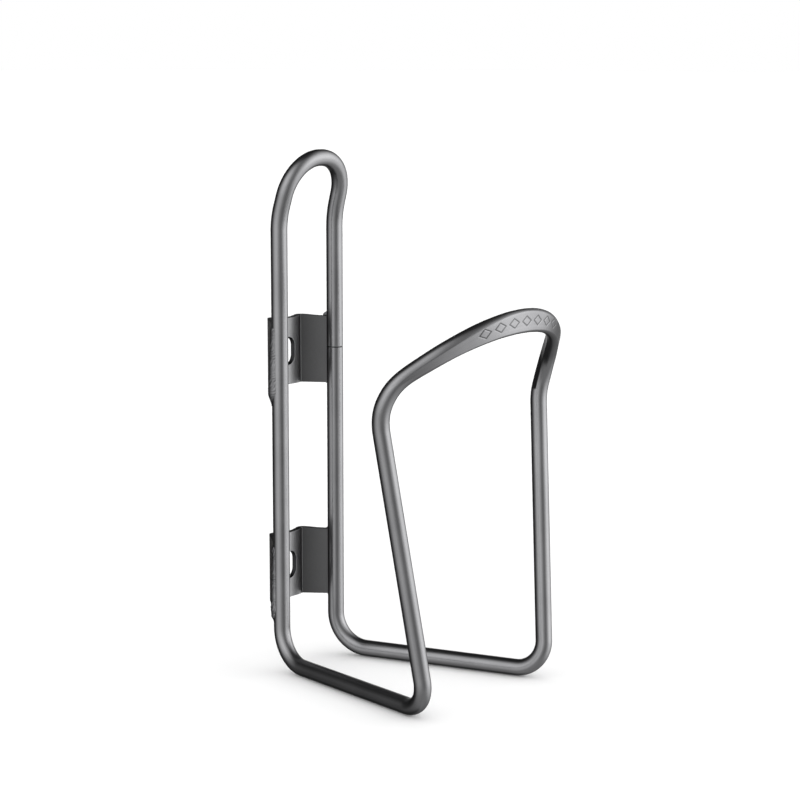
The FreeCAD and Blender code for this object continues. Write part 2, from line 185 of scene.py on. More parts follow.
def rodBends():
    names = ["front", "shoulder", "legTop", "toe", "heel", "knee", "arch"]
    places = [rodShape["frontCentre"]] + [rodShape[name][0] for name in names]
    places.append(rodShape["archCentre"])
    return {name: bendAt(places[i], places[i + 1], places[i + 2], rodShape[name][1])
            for i, name in enumerate(names)}


def runOn(state, length, step):
    # straight run, in equal steps, from the selected ring
    count = max(1, round(length / step))
    for _ in range(count):
        pull(state["heading"] * (length / count))
        state["place"] = state["place"] + state["heading"] * (length / count)
        state["distance"] += length / count
        state["rings"].append((state["place"].copy(), state["heading"].copy(), state["distance"]))


def bendOn(state, bend, turn, steps):
    # spins the selected ring on round the bend; the operator turns left-handed
    bpy.ops.mesh.spin(steps=steps, angle=-turn, center=bend["centre"], axis=bend["axis"])
    arm = state["place"] - bend["centre"]
    for index in range(1, steps + 1):
        part = turn * index / steps
        turned = arm * math.cos(part) + bend["axis"].cross(arm) * math.sin(part)
        place = bend["centre"] + turned
        heading = bend["axis"].cross(turned).normalized()
        state["rings"].append((place, heading, state["distance"] + bend["radius"] * part))
    state["distance"] += bend["radius"] * turn
    state["place"], state["heading"] = place, heading


def settle(rings):
    # evens out the joints between the bends of the band; the window closes at both ends
    settled = []
    last = rings[-1][2]
    opens, closes = evening["opens"], evening["closes"]
    # rings lie closer in some stretches, so each is weighted by the length it stands for
    spans = [rings[min(index + 1, len(rings) - 1)][2] - rings[max(index - 1, 0)][2]
             for index in range(len(rings))]
    for place, heading, distance in rings:
        reach = evening["reach"] * ease(*opens, distance) * ease(0, closes, last - distance)
        if reach > evening["least"]:
            total, middle, lean = 0.0, Vector(), Vector()
            for ring, span in zip(rings, spans):
                away = abs(ring[2] - distance) / reach
                if away < 1:
                    weight = span * math.cos(away * math.pi / 2)
                    total += weight
                    middle += ring[0] * weight
                    lean += ring[1] * weight
            place, heading = middle / total, lean.normalized()
        settled.append((place, heading, distance))
    return settled


def smoothRow(distance):
    # mean of the rows around the distance, so that no row shows as a kink
    total = [0.0] * 5
    for shift in rowSpread:
        at = min(max(distance + shift, pressRows[0][0]), pressRows[-1][0])
        for low, high in zip(pressRows, pressRows[1:]):
            if at <= high[0]:
                break
        share = (at - low[0]) / (high[0] - low[0])
        for index in range(5):
            total[index] += low[index + 1] + (high[index + 1] - low[index + 1]) * share
    return [value / len(rowSpread) for value in total]


def pressedPoint(row, distance, angle):
    # angle is the vertex's place on the round rod, in degrees: 0 outward, 90 up
    height, thick, low, high, inner = row
    flatOuter = ease(0, pressStart["outerRun"], distance - pressStart["outer"])
    flatInner = ease(0, pressStart["innerRun"], distance - pressStart["inner"])
    outerEnd, innerEnd = flatEnds["outer"], flatEnds["inner"]
    side = innerEnd - outerEnd

    def onOval(degrees):
        turn = math.radians(degrees)
        return Vector((thick * math.cos(turn), height * math.sin(turn)))

    if abs(angle) <= outerEnd:
        share = (angle + outerEnd) / (2 * outerEnd)
        chord = onOval(low).lerp(onOval(high), share)
        return onOval(low + (high - low) * share).lerp(chord, flatOuter)
    if outerEnd < angle <= innerEnd:
        return onOval(high + (180 - inner - high) * (angle - outerEnd) / side)
    if -innerEnd <= angle < -outerEnd:
        return onOval(low + (-180 + inner - low) * (-angle - outerEnd) / side)
    share = ((angle if angle > 0 else angle + 360) - innerEnd) / (360 - 2 * innerEnd)
    chord = onOval(180 - inner).lerp(onOval(180 + inner), share)
    return onOval(180 - inner + 2 * inner * share).lerp(chord, flatInner)


def diamondDepth(along, up):      # 1 in the middle of an engraved line
    nearest = min(max(round(along / ornament["pitch"]), -(ornament["count"] // 2)),
                  ornament["count"] // 2) * ornament["pitch"]
    a, c = ornament["halfLength"], ornament["halfHeight"]
    away = (abs(along - nearest) / a + abs(up) / c - 1) / math.hypot(1 / a, 1 / c)
    return math.exp(-(away / ornament["line"]) ** 2)


def pressRing(vertices, ring, legDistance):
    # moves one ring's vertices from the round rod to the pressed section
    place, heading, distance = ring
    outward = place - Vector(rodShape["bottleAxis"])
    outward.z = 0
    outward = (outward - heading * outward.dot(heading)).normalized()
    upward = outward.cross(heading)
    fromLeg = (legDistance - distance) * 1000
    row = smoothRow(fromLeg)
    points, marks = [], []
    for index in range(len(vertices)):
        angle = 180 - 360 * index / len(vertices)
        points.append(pressedPoint(row, fromLeg, angle) / 1000)
    for index, vertex in enumerate(vertices):
        before, point = points[index - 1], points[index]
        after = points[(index + 1) % len(points)]
        point = point * 0.5 + (before + after) * 0.25      # a small round on every crisp edge
        angle = 180 - 360 * index / len(vertices)
        x, y = point
        mark = 0.0
        if abs(angle) < ornament["within"] and fromLeg > ornament["fromLeg"]:
            mark = diamondDepth(distance, y - ornament["raise"])
        marks.append(mark)
        vertex.co = place + outward * (x - ornament["depth"] * mark) + upward * y
    return marks


def makeRod():
    bends, steps = rodBends(), rodShape["steps"]
    bpy.ops.mesh.primitive_circle_add(vertices=rodShape["around"], radius=rodShape["radius"],
                                      location=rodShape["frontCentre"],
                                      rotation=(0, math.pi / 2, 0))
    rod = startPiece("rodLoop")
    start = Vector(rodShape["frontCentre"])
    state = {"place": start, "heading": Vector((1, 0, 0)), "distance": 0.0,
             "rings": [(start, Vector((1, 0, 0)), 0.0)]}
    bpy.ops.object.mode_set(mode="EDIT")
    bpy.ops.mesh.select_all(action="SELECT")

    # band, from the middle of the front to the top of the leg and a little way down it
    front, shoulder, legTop = bends["front"], bends["shoulder"], bends["legTop"]
    runOn(state, (front["start"] - start).length, rodShape["fineStep"])
    fineTurn = (rodShape["fineLength"] - state["distance"]) / front["radius"]
    bendOn(state, front, fineTurn, round(fineTurn * front["radius"] / rodShape["fineStep"]))
    restTurn = front["turn"] - fineTurn
    bendOn(state, front, restTurn, round(restTurn * front["radius"] / rodShape["coarseStep"]))
    runOn(state, (shoulder["start"] - front["end"]).length, rodShape["coarseStep"])
    bendOn(state, shoulder, shoulder["turn"], steps["shoulder"])
    legDistance = state["distance"]
    nearTurn = rodShape["pressedLeg"] / legTop["radius"]
    bendOn(state, legTop, nearTurn, steps["pressedLeg"])
    bpy.ops.object.mode_set(mode="OBJECT")
    count = rodShape["around"]
    engraved = []
    for index, ring in enumerate(settle(state["rings"])):
        engraved += pressRing(rod.data.vertices[index * count:(index + 1) * count], ring,
                              legDistance)
    print("band pressed:", len(state["rings"]), "rings")

    # the round rest: leg, bottom run, upright and half the arch
    last = (len(state["rings"]) - 1) * count
    selectVertices(rod, lambda vertex: vertex.index >= last)
    bendOn(state, legTop, legTop["turn"] - nearTurn, steps["legTop"])
    for name in ("toe", "heel", "knee", "arch"):
        bend = bends[name]
        run = (bend["start"] - state["place"]).length
        if name == "knee":
            toSeam = seam["height"] - state["place"].z
            runOn(state, toSeam - 2 * seam["ring"], run)
            for _ in range(4):
                runOn(state, seam["ring"], seam["ring"])
            run -= toSeam + 2 * seam["ring"]
        runOn(state, run, max(run / rodShape["runParts"], rodShape["runLeast"]))
        bendOn(state, bend, bend["turn"], steps[name])
    run = (Vector(rodShape["archCentre"]) - state["place"]).length
    runOn(state, run, run)
    bpy.ops.object.mode_set(mode="OBJECT")

    # place round and along the rod, for the drawn lines of its finish
    drawn = rod.data.attributes.new("drawnLines", "FLOAT_VECTOR", "POINT")
    for index, vertex in enumerate(rod.data.vertices):
        turn = 2 * math.pi * (index % count) / count
        along = state["rings"][index // count][2]
        drawn.data[index].vector = (math.cos(turn), math.sin(turn), along)
    engraving = rod.data.attributes.new("engraving", "FLOAT", "POINT")
    for index, mark in enumerate(engraved):
        engraving.data[index].value = mark

    addModifier(rod, "MIRROR", use_axis=(True, False, False), use_mirror_merge=True,
                merge_threshold=rodShape["mirrorMerge"])
    tidyMesh(rod)

    def nearSeam(place, reach):
        inside, behind = seam["inside"]
        return (place.x > inside and place.y > behind
                and abs(place.z - seam["height"]) < reach)

    selectVertices(rod, lambda vertex: nearSeam(vertex.co, seam["near"]))
    shrink = 1 - seam["depth"] / rodShape["radius"]
    bpy.ops.transform.resize(value=(shrink, shrink, 1), center_override=(
        rodShape["knee"][0][0], rodShape["knee"][0][1], seam["height"]))
    bpy.ops.object.mode_set(mode="OBJECT")
    # the seam's groove takes the dark second finish: a dark joint line, deepened as painted shade
    # of the groove
    for face in rod.data.polygons:
        if nearSeam(face.center, seam["ring"]):
            face.material_index = 1
    bpy.ops.object.shade_smooth()
    handOver(rod, "rod_loop")
    print("rod:", len(rod.data.polygons), "faces")
    return rod


rodPiece = makeRod()


# brackets: a flat blank with its slot, broken edges and all, bent round the frame tube

bracketShape = {
    "height": 0.0200,
    "thickness": 0.0016,
    "middle": 0.0320,           # above and below the mount centre
    "tube": 0.0143,             # radius of the frame tube it sits on
    "corner": 0.0060,           # half width of the web, where web and flange would meet
    "web": (0.0463, 6),         # bends from the middle outward: radius, degrees
    "webEdge": (0.0012, 27),
    "creaseRadius": 0.0008,
    "flangeAngle": 50,
    "flangeLength": 0.0088,
    "slotWidth": 0.0058,
    "slotLength": 0.0085,
    "slotAround": 72,
    "rim": 0.00009,
    "cuts": (8, 6, 12, 5),      # parts of each bend and of the flange
    "rise": 0.00050,            # top edge over the crease, above the rest of it
    "riseAt": (0.0065, 0.0035),  # distance from the middle, and spread
    "lift": (0.00035, 0.00015),  # bottom edge, at the web and at the end of the flange
}


def bendLine():
    # plan of the bracket's front face, right half: shallow web, its edge, crease, flange
    shape = bracketShape
    slope = math.radians(shape["flangeAngle"])
    webTurn, edgeTurn = math.radians(shape["web"][1]), math.radians(shape["webEdge"][1])
    bends = [(shape["web"][0], webTurn), (shape["webEdge"][0], edgeTurn),
             (shape["creaseRadius"], -webTurn - edgeTurn - slope)]
    place, heading, length, folds = Vector((0, 0)), 0.0, 0.0, []
    for radius, turn in bends:
        curve = math.copysign(1 / radius, turn)
        folds.append({"start": place, "heading": heading, "length": length, "curve": curve})
        place = place + Vector((math.sin(heading + turn) - math.sin(heading),
                                math.cos(heading) - math.cos(heading + turn))) / curve
        heading += turn
        length += radius * abs(turn)
    along = Vector((math.cos(slope), -math.sin(slope)))
    half, front = shape["corner"], shape["tube"] + shape["thickness"]
    corner = Vector((half, shape["tube"] - math.sqrt(front ** 2 - half ** 2)))
    down = Vector((0, corner.y - (place.x - half) * math.tan(slope) - place.y))
    for fold in folds:
        fold["start"] = fold["start"] + down
    flangeStart = place + down
    return {"folds": folds, "bendLength": length, "along": along, "flangeStart": flangeStart,
            "outward": Vector((math.sin(slope), math.cos(slope))),
            "flangeLength": shape["flangeLength"] - (flangeStart - corner).length}


def bentPoint(line, across, depth):
    # across: distance along the front face from the middle; depth: behind the front face
    side = -1 if across < 0 else 1
    length = abs(across)
    if length >= line["bendLength"]:
        point = (line["flangeStart"] + line["along"] * (length - line["bendLength"])
                 + line["outward"] * depth)
    else:
        fold = [fold for fold in line["folds"] if fold["length"] <= length][-1]
        turned = fold["heading"] + (length - fold["length"]) * fold["curve"]
        point = fold["start"] + Vector((math.sin(turned) - math.sin(fold["heading"]),
                                        math.cos(fold["heading"]) - math.cos(turned))
                                       ) / fold["curve"]
        point = point + Vector((-math.sin(turned), math.cos(turned))) * depth
    return side * point.x, point.y


def makeBrackets():
    shape, line = bracketShape, bendLine()
    bendLength, flangeLength = line["bendLength"], line["flangeLength"]
    halfWidth = bendLength + flangeLength
    bpy.ops.mesh.primitive_cube_add(size=1, location=(0, shape["thickness"] / 2, 0),
                                    scale=(2 * halfWidth, shape["thickness"], shape["height"]))
    bracket = startPiece("upperBracket")

    offset = (shape["slotLength"] - shape["slotWidth"]) / 2
    bpy.ops.mesh.primitive_cylinder_add(
        vertices=shape["slotAround"], radius=shape["slotWidth"] / 2, depth=0.01,
        location=(0, 0, offset), rotation=(math.pi / 2, 0, 0))
    cutter = startPiece("slotCutter")
    bpy.ops.object.mode_set(mode="EDIT")
    bpy.ops.mesh.select_all(action="SELECT")
    bpy.ops.mesh.bisect(plane_co=(0, 0, offset), plane_no=(0, 0, 1))
    selectVertices(cutter, lambda vertex: vertex.co.z < offset - 0.00001)
    bpy.ops.transform.translate(value=(0, 0, -2 * offset))
    bpy.ops.object.mode_set(mode="OBJECT")
    addModifier(bracket, "BOOLEAN", operation="DIFFERENCE", object=cutter, solver="EXACT")
    bpy.data.objects.remove(cutter)
    addModifier(bracket, "BEVEL", width=shape["rim"], segments=3, limit_method="ANGLE",
                angle_limit=math.radians(40))

    # outer edges and the slot's wall take the second, darker finish: cut-edge colour that also
    # paints the shade inside the slot and along the rims
    for face in bracket.data.polygons:
        outer = (abs(face.center.x) > halfWidth - shape["rim"] or
                 abs(face.center.z) > shape["height"] / 2 - shape["rim"])
        face.material_index = 1 if outer or abs(face.normal.y) < 0.2 else 0

    # cuts where the blank bends
    cuts = {0.0}
    starts = [fold["length"] for fold in line["folds"]] + [bendLength]
    lengths = [end - start for start, end in zip(starts, starts[1:])] + [flangeLength]
    for start, length, parts in zip(starts, lengths, shape["cuts"]):
        cuts.update(start + length * step / parts for step in range(1, parts + 1))
    cuts = {cut for cut in cuts if cut < halfWidth - shape["rim"]}
    takeUp(bracket)
    bpy.ops.object.mode_set(mode="EDIT")
    for cut in sorted({-cut for cut in cuts} | cuts):
        bpy.ops.mesh.select_all(action="SELECT")
        bpy.ops.mesh.bisect(plane_co=(cut, 0, 0), plane_no=(1, 0, 0))
    bpy.ops.object.mode_set(mode="OBJECT")
    for vertex in bracket.data.vertices:
        across, height = vertex.co.x, vertex.co.z
        x, y = bentPoint(line, across, vertex.co.y)
        beyond = max(abs(across) - bendLength, 0) / flangeLength
        if height > 0:
            middle, spread = shape["riseAt"]
            height += shape["rise"] * math.exp(-((abs(across) - middle) / spread) ** 2)
        else:
            height += shape["lift"][0] + (shape["lift"][1] - shape["lift"][0]) * beyond
        vertex.co = (x, y, height + shape["middle"])
    tidyMesh(bracket)
    bpy.ops.object.shade_smooth()
    addModifier(bracket, "WEIGHTED_NORMAL", mode="FACE_AREA", weight=50, keep_sharp=False)

    takeUp(bracket)
    bpy.ops.object.duplicate()
    lower = bpy.context.object
    lower.name = lower.data.name = "lowerBracket"
    bpy.ops.transform.translate(value=(0, 0, -2 * shape["middle"]))
    bpy.ops.object.transform_apply(location=True, rotation=False, scale=False)
    handOver(bracket, "upper_bracket")
    handOver(lower, "lower_bracket")
    print("brackets:", len(bracket.data.polygons), "faces each")
    return [bracket, lower]


bracketPieces = makeBrackets()


# weld beads down the outside of each flange, with a rippled surface

weldShape = {
    "crownAngle": 26,           # degrees from the side round the upright
    "toeRadius": 0.00236,       # just inside the rod
    "root": (62, 0.0020),       # inside the rod: degrees round it, distance from its axis
    "sunk": 0.00002,            # lap edge below the face of the flange
    "around": 26,
    "step": 0.00012,
    "pitch": 0.00115,           # from one ripple to the next
    "ripple": 0.00015,
    "mean": 0.6,                # level of the ripples that stays on the bead's section
    "slant": 0.45,              # pitches by which a ripple's ends stand above its middle
    "lean": 2.0,                # ripples climb this many pitches towards the rod
    "wander": ((0.35, 410), (0.45, 1150)),      # uneven pitch: pitches, turn per metre
    "uneven": (0.65, 0.35, 760),                # ripple depth: mean, swing, turn per metre
    "slow": (0.175, 1900, 3000),    # waves under the ripples: size, turn, shift by bracket height
    "edges": (0.15, 0.10),      # share of the section that stays smooth at the lap and the toe
    "taper": 0.0016,
    "tip": 0.35,                # size of the section at the very end
    "dropAt": (0.0016, 0.0009),                 # blob: height above the end, and spread
}

# weld: side, height of the bracket, run past its upper and lower edges, lap over the flange and
# crown over the rod at the upper and lower end, toe in degrees, blob where the bead stops
weldRuns = {
    "upper_left_weld": {"side": -1, "middle": 0.032, "above": 0, "below": 0.0040,
                        "lap": (0.0006, 0.0022), "crown": (0.00025, 0.00090), "toe": -18,
                        "drop": 0},
    "lower_left_weld": {"side": -1, "middle": -0.032, "above": 0, "below": 0.0040,
                        "lap": (0.0008, 0.0016), "crown": (0.00025, 0.00055), "toe": 2,
                        "drop": 0.00045},
    "upper_right_weld": {"side": 1, "middle": 0.032, "above": 0.0019, "below": 0.0012,
                         "lap": (0.0026, 0.0020), "crown": (0.00085, 0.00050), "toe": -8,
                         "drop": 0},
    "lower_right_weld": {"side": 1, "middle": -0.032, "above": 0.0012, "below": 0.0012,
                         "lap": (0.0022, 0.0022), "crown": (0.00060, 0.00070), "toe": -5,
                         "drop": 0},
}


def arcThrough(first, second, third, count):
    # points on the circle arc from first through second to third
    a, b = second - first, third - first
    cross = a.x * b.y - a.y * b.x
    centre = first + Vector((b.y * a.length_squared - a.y * b.length_squared,
                             a.x * b.length_squared - b.x * a.length_squared)) / (2 * cross)
    start, end = first - centre, third - centre
    turn = start.angle_signed(end)
    points = []
    for index in range(count):
        part = -turn * index / (count - 1)
        points.append(centre + Vector((start.x * math.cos(part) - start.y * math.sin(part),
                                       start.x * math.sin(part) + start.y * math.cos(part))))
    return centre, points


def makeWeld(node, run):
    shape = weldShape
    axis = Vector(rodShape["heel"][0][:2])
    line = bendLine()
    face = line["flangeStart"] + line["outward"] * bracketShape["thickness"]
    toAxis = axis - face
    beside = abs(toAxis.x * line["along"].y - toAxis.y * line["along"].x)
    meet = toAxis.dot(line["along"]) - math.sqrt(rodShape["radius"] ** 2 - beside ** 2)

    def aroundRod(place):
        turn = math.radians(place[0])
        return axis + Vector((math.cos(turn), math.sin(turn))) * place[1]

    root = aroundRod(shape["root"])
    toe = aroundRod((run["toe"], shape["toeRadius"]))
    top = run["middle"] + bracketShape["height"] / 2 + run["above"]
    bottom = run["middle"] - bracketShape["height"] / 2 - run["below"]
    lowTaper = max(run["below"], shape["taper"])
    count = round((top - bottom) / shape["step"])
    (slip, slipTurn), (sway, swayTurn) = shape["wander"]
    deep, swing, deepTurn = shape["uneven"]
    slow, slowTurn, slowShift = shape["slow"]
    dropAt, dropSpread = shape["dropAt"]

    # a plain column of rings, which then take the bead's section
    bpy.ops.object.select_all(action="DESELECT")
    around = shape["around"] + 1
    bpy.ops.mesh.primitive_circle_add(vertices=around, radius=0.001, location=(0, 0, top))
    name = node.title().replace("_", "")
    weld = startPiece(name[0].lower() + name[1:])
    bpy.ops.object.mode_set(mode="EDIT")
    bpy.ops.mesh.select_all(action="SELECT")
    bpy.ops.mesh.edge_face_add()
    for _ in range(count):
        pull((0, 0, -(top - bottom) / count))
    bpy.ops.object.mode_set(mode="OBJECT")

    vertices = weld.data.vertices
    for index, vertex in enumerate(vertices):
        ring, spot = divmod(index, around)
        height = vertex.co.z
        scale = 1 - (1 - shape["tip"]) * (1 - ease(0, shape["taper"], top - height))
        scale *= 1 - (1 - shape["tip"]) * (1 - ease(0, lowTaper, height - bottom))
        if spot == 0:
            share = (top - height) / (top - bottom)
            crown = run["crown"][0] + (run["crown"][1] - run["crown"][0]) * share
            reach = run["lap"][0] + (run["lap"][1] - run["lap"][0]) * share
            lap = face + line["along"] * (meet - reach) - line["outward"] * shape["sunk"]
            centre, section = arcThrough(
                lap, aroundRod((shape["crownAngle"], rodShape["radius"] + crown)), toe,
                shape["around"])
        if spot == shape["around"]:
            point = root.copy()
        else:
            share = spot / (shape["around"] - 1)
            point = section[spot]
            edge = ease(0, shape["edges"][0], share) * ease(0, shape["edges"][1], 1 - share)
            phase = (top - height) / shape["pitch"] + shape["slant"] * (2 * share - 1) ** 2
            phase += slip * math.sin(height * slipTurn + run["side"]) + shape["lean"] * share
            phase += sway * math.sin(height * swayTurn + 4 * share)
            wave = abs(math.sin(math.pi * phase)) - shape["mean"]
            wave *= deep + swing * math.sin(height * deepTurn + 2 * share)
            wave += slow * math.sin(height * slowTurn + slowShift * run["middle"])
            drop = (height - bottom - dropAt) / dropSpread
            lift = (shape["ripple"] * wave + run["drop"] * math.exp(-drop * drop)) * edge
            point = point + (point - centre).normalized() * lift
            point = root + (point - root) * scale
        vertex.co = (run["side"] * point.x, point.y, height)
    tidyMesh(weld)
    bpy.ops.object.shade_smooth_by_angle(angle=math.radians(60))
    handOver(weld, node)
    return weld


weldPieces = [makeWeld(node, run) for node, run in weldRuns.items()]
print("welds:", len(weldPieces[0].data.polygons), "faces each")


# looks shared by the finishes

def newGroup(name, inputs, outputs):
    group = bpy.data.node_groups.new(name, "ShaderNodeTree")
    for label, kind, value in inputs:
        socket = group.interface.new_socket(label, in_out="INPUT", socket_type=kind)
        if value is not None:
            socket.default_value = value
    for label, kind in outputs:
        group.interface.new_socket(label, in_out="OUTPUT", socket_type=kind)
    return group, group.nodes.new("NodeGroupInput"), group.nodes.new("NodeGroupOutput")


def addNode(tree, kind, values=None, **settings):
    node = tree.nodes.new(kind)
    for key, value in settings.items():
        setattr(node, key, value)
    for socket, value in (values or {}).items():
        node.inputs[socket].default_value = value
    return node


def makeGrainGroup():
    # fine speckle of a blasted and anodised surface, with slow cloudy variation
    group, inside, outside = newGroup(
        "anodisedGrain",
        [("Vector", "NodeSocketVector", None), ("Grain Scale", "NodeSocketFloat", 4000.0),
         ("Cloud Scale", "NodeSocketFloat", 120.0)],
        [("Shade", "NodeSocketFloat"), ("Roughness", "NodeSocketFloat"),
         ("Height", "NodeSocketFloat")])
    link = group.links.new
    grain = addNode(group, "ShaderNodeTexNoise", {"Detail": 3.0, "Roughness": 0.6})
    link(inside.outputs["Vector"], grain.inputs["Vector"])
    link(inside.outputs["Grain Scale"], grain.inputs["Scale"])
    cloud = addNode(group, "ShaderNodeTexNoise", {"Detail": 2.0})
    link(inside.outputs["Vector"], cloud.inputs["Vector"])
    link(inside.outputs["Cloud Scale"], cloud.inputs["Scale"])
    # six parts of grain to four of cloud
    shade = addNode(group, "ShaderNodeMath", {1: 0.6}, operation="MULTIPLY_ADD")
    link(grain.outputs["Fac"], shade.inputs[0])
    soft = addNode(group, "ShaderNodeMath", {1: 0.4}, operation="MULTIPLY")
    link(cloud.outputs["Fac"], soft.inputs[0])
    link(soft.outputs[0], shade.inputs[2])
    link(shade.outputs[0], outside.inputs["Shade"])
    link(cloud.outputs["Fac"], outside.inputs["Roughness"])
    link(grain.outputs["Fac"], outside.inputs["Height"])
    return group


grainGroup = makeGrainGroup()


def makeFinish(name, look):
    material = bpy.data.materials.new(name)
    material.use_nodes = True
    tree = material.node_tree
    tree.nodes.clear()
    link = tree.links.new
    output = addNode(tree, "ShaderNodeOutputMaterial")
    shader = addNode(tree, "ShaderNodeBsdfPrincipled",
                     {"Metallic": 1.0, "Specular Tint": look["edgeTint"]})
    link(shader.outputs["BSDF"], output.inputs["Surface"])
    place = addNode(tree, "ShaderNodeTexCoord")
    grain = addNode(tree, "ShaderNodeGroup", {"Grain Scale": look["grainScale"],
                                              "Cloud Scale": look["cloudScale"]},
                    node_tree=grainGroup)
    link(place.outputs["Object"], grain.inputs["Vector"])
    shade, rough = grain.outputs["Shade"], grain.outputs["Roughness"]
    height = grain.outputs["Height"]
    if look.get("drawnLines"):
        lines = addNode(tree, "ShaderNodeAttribute", attribute_name="drawnLines")
        stretch = addNode(tree, "ShaderNodeMapping", {"Scale": look["lineScale"]})
        drawn = addNode(tree, "ShaderNodeTexNoise", {"Scale": 1.0, "Detail": 3.0})
        link(lines.outputs["Vector"], stretch.inputs["Vector"])
        link(stretch.outputs["Vector"], drawn.inputs["Vector"])
        mix = addNode(tree, "ShaderNodeMix", {"Factor": look["drawnLines"]},
                      data_type="FLOAT")
        link(shade, mix.inputs["A"])
        link(drawn.outputs["Fac"], mix.inputs["B"])
        shade = mix.outputs["Result"]
    # the noise keeps to the middle of its range, so that is spread over the two tones
    colour = addNode(tree, "ShaderNodeMix", {"A": look["dark"], "B": look["light"]},
                     data_type="RGBA")
    spread = addNode(tree, "ShaderNodeMapRange", {"From Min": 0.3, "From Max": 0.7})
    link(shade, spread.inputs["Value"])
    link(spread.outputs["Result"], colour.inputs["Factor"])
    link(colour.outputs["Result"], shader.inputs["Base Color"])
    if look.get("engraving"):
        mark = addNode(tree, "ShaderNodeAttribute", attribute_name="engraving")
        share = addNode(tree, "ShaderNodeMath", {1: look["engraving"]}, operation="MULTIPLY")
        link(mark.outputs["Fac"], share.inputs[0])
        etched = addNode(tree, "ShaderNodeMix", {"B": look["etched"]}, data_type="RGBA")
        link(share.outputs[0], etched.inputs["Factor"])
        link(colour.outputs["Result"], etched.inputs["A"])
        link(etched.outputs["Result"], shader.inputs["Base Color"])
    if look.get("across"):
        # painted shade by distance from the middle plane: web at full colour, flanges darkened,
        # most just past the crease, as the shade of the concave corner
        parts = addNode(tree, "ShaderNodeSeparateXYZ")
        link(place.outputs["Object"], parts.inputs["Vector"])
        aside = addNode(tree, "ShaderNodeMath", operation="ABSOLUTE")
        link(parts.outputs["X"], aside.inputs[0])
        reach = addNode(tree, "ShaderNodeMapRange", {"From Max": look["shadeRampEnd"]})
        link(aside.outputs[0], reach.inputs["Value"])
        ramp = addNode(tree, "ShaderNodeValToRGB")
        stops = ramp.color_ramp.elements
        for index, (at, level) in enumerate(look["across"]):
            part = at / look["shadeRampEnd"]
            stop = stops[index] if index < 2 else stops.new(part)
            stop.position = part
            stop.color = (level, level, level, 1)
        link(reach.outputs["Result"], ramp.inputs["Fac"])
        creaseShaded = addNode(tree, "ShaderNodeMix", {"Factor": 1.0}, data_type="RGBA",
                        blend_type="MULTIPLY")
        link(colour.outputs["Result"], creaseShaded.inputs["A"])
        link(ramp.outputs["Color"], creaseShaded.inputs["B"])
        link(creaseShaded.outputs["Result"], shader.inputs["Base Color"])
    roughness = addNode(tree, "ShaderNodeMapRange", {"To Min": look["roughness"][0],
                                                     "To Max": look["roughness"][1]})
    link(rough, roughness.inputs["Value"])
    link(roughness.outputs["Result"], shader.inputs["Roughness"])
    bump = addNode(tree, "ShaderNodeBump", {"Strength": look["bump"],
                                            "Distance": look["bumpDistance"]})
    link(height, bump.inputs["Height"])
    link(bump.outputs["Normal"], shader.inputs["Normal"])
    return material


rodLook = {"dark": (0.155, 0.155, 0.16, 1), "light": (0.25, 0.25, 0.255, 1),
           "edgeTint": (0.45, 0.45, 0.45, 1), "roughness": (0.26, 0.33), "grainScale": 4500.0,
           "cloudScale": 90.0, "bump": 0.4, "bumpDistance": 0.00002, "drawnLines": 0.35,
           "lineScale": (14, 14, 40), "engraving": 0.7, "etched": (0.02, 0.02, 0.02, 1)}
# sheet finish; its across ramp paints shade on the flanges, darkest just past the crease
bracketLook = dict(rodLook, dark=(0.24, 0.24, 0.245, 1), light=(0.33, 0.33, 0.335, 1),
                   roughness=(0.32, 0.40), drawnLines=0, engraving=0,
                   across=[(0.0, 1.0), (0.0052, 0.95), (0.0062, 0.28), (0.0115, 0.42)],
                   shadeRampEnd=0.012)
# dark cut-edge finish, partly painted shade: slot wall, sheet rims and the rod's seam groove
cutEdgeShadeLook = dict(rodLook, dark=(0.03, 0.03, 0.032, 1), light=(0.06, 0.06, 0.062, 1),
                roughness=(0.40, 0.55), drawnLines=0, engraving=0)
weldLook = dict(rodLook, dark=(0.11, 0.11, 0.115, 1), light=(0.20, 0.20, 0.205, 1),
                roughness=(0.32, 0.46), drawnLines=0, engraving=0, grainScale=2500.0)

rodFinish = makeFinish("graphiteRod", rodLook)
bracketFinish = makeFinish("graphiteSheet", bracketLook)
cutEdgeShadeFinish = makeFinish("graphiteCutEdgeAndShade", cutEdgeShadeLook)
weldFinish = makeFinish("graphiteWeld", weldLook)


def paint(piece, *materials):
    picked = [face.material_index for face in piece.data.polygons]
    piece.data.materials.clear()
    for material in materials:
        piece.data.materials.append(material)
    for face, index in zip(piece.data.polygons, picked):
        face.material_index = min(index, len(materials) - 1)


paint(rodPiece, rodFinish, cutEdgeShadeFinish)
for piece in bracketPieces:
    paint(piece, bracketFinish, cutEdgeShadeFinish)
for piece in weldPieces:
    paint(piece, weldFinish)
print("finishes done")


# studio: pale floor, pale surroundings, a tall soft light on the left, a strong one on the right
# box: azimuth from the studio's front, elevation, half widths and soft edges in degrees, strength

